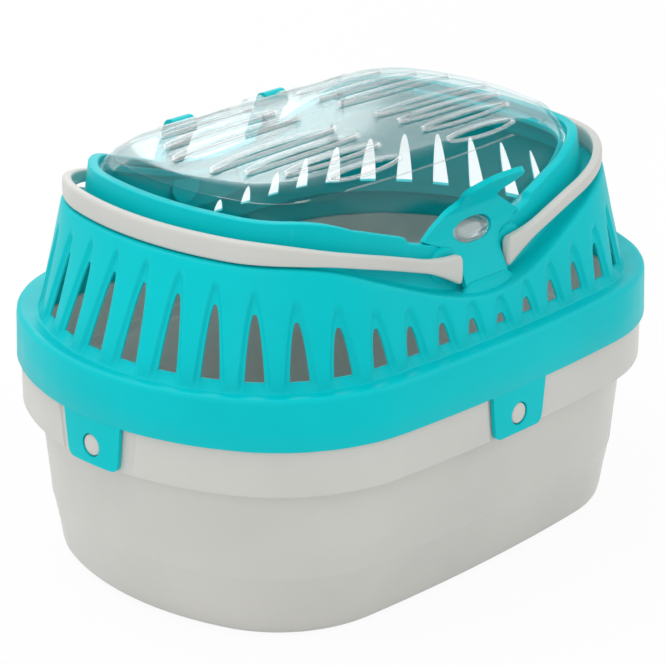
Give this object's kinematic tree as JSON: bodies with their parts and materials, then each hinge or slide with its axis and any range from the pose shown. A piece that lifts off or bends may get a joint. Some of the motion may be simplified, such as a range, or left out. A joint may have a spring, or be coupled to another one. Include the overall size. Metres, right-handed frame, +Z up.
{
  "type": "pet carrier",
  "caption": "Plastic small-pet carrier: rounded tub, slotted top shell on four snap tabs, clear hinged lid with latch tongue and folding carry handles.",
  "frame": {"origin": "middle of the tub's flat base, on the surface it stands on", "axes": "+X along the length, -Y towards the latch at the front, +Y towards the lid hinge, +Z up"},
  "size_m": [0.3, 0.2176, 0.1952],
  "materials": {
    "grey_plastic": "satin moulded polypropylene, warm light grey",
    "turquoise_plastic": "satin moulded polypropylene, turquoise",
    "clear_plastic": "polished clear polystyrene"
  },
  "bodies": {
    "tub_body": {"tub": "grey_plastic"},
    "shell_body": {"top_shell": "turquoise_plastic"},
    "lid_body": {"lid": "clear_plastic"},
    "tongue_body": {"latch_tongue": "turquoise_plastic"},
    "left_bail": {"handle_left": "grey_plastic"},
    "right_bail": {"handle_right": "grey_plastic"},
    "front_tab": {"snap_tab_front": "turquoise_plastic"},
    "back_tab": {"snap_tab_back": "turquoise_plastic"},
    "left_tab": {"snap_tab_left": "turquoise_plastic"},
    "right_tab": {"snap_tab_right": "turquoise_plastic"}
  },
  "joints": [
    {"name": "shell_lift", "type": "slide", "parent": "tub_body", "child": "shell_body", "axis": [0, 0, 1], "range_m": [0, 0.18]},
    {"name": "lid_hinge", "type": "hinge", "parent": "shell_body", "child": "lid_body", "pos_m": [0, 0.07022, 0.1784], "axis": [-1, 0, 0], "range_deg": [0, 105]},
    {"name": "handle_left_pivot", "type": "hinge", "parent": "shell_body", "child": "left_bail", "pos_m": [-0.021, 0, 0.147], "axis": [0, -1, 0], "range_deg": [-76, 0]},
    {"name": "handle_right_pivot", "type": "hinge", "parent": "shell_body", "child": "right_bail", "pos_m": [0.021, 0, 0.147], "axis": [0, 1, 0], "range_deg": [-76, 0]},
    {"name": "latch_flex", "type": "hinge", "parent": "shell_body", "child": "tongue_body", "pos_m": [0, -0.08767, 0.1376], "axis": [1, 0, 0], "range_deg": [0, 12]},
    {"name": "front_tab_flex", "type": "hinge", "parent": "shell_body", "child": "front_tab", "pos_m": [0, -0.1086, 0.09295], "axis": [-1, 0, 0], "range_deg": [0, 10]},
    {"name": "back_tab_flex", "type": "hinge", "parent": "shell_body", "child": "back_tab", "pos_m": [0, 0.1086, 0.09295], "axis": [1, 0, 0], "range_deg": [0, 10]},
    {"name": "left_tab_flex", "type": "hinge", "parent": "shell_body", "child": "left_tab", "pos_m": [-0.1498, 0, 0.09295], "axis": [0, 1, 0], "range_deg": [0, 10]},
    {"name": "right_tab_flex", "type": "hinge", "parent": "shell_body", "child": "right_tab", "pos_m": [0.1498, 0, 0.09295], "axis": [0, -1, 0], "range_deg": [0, 10]}
  ]
}
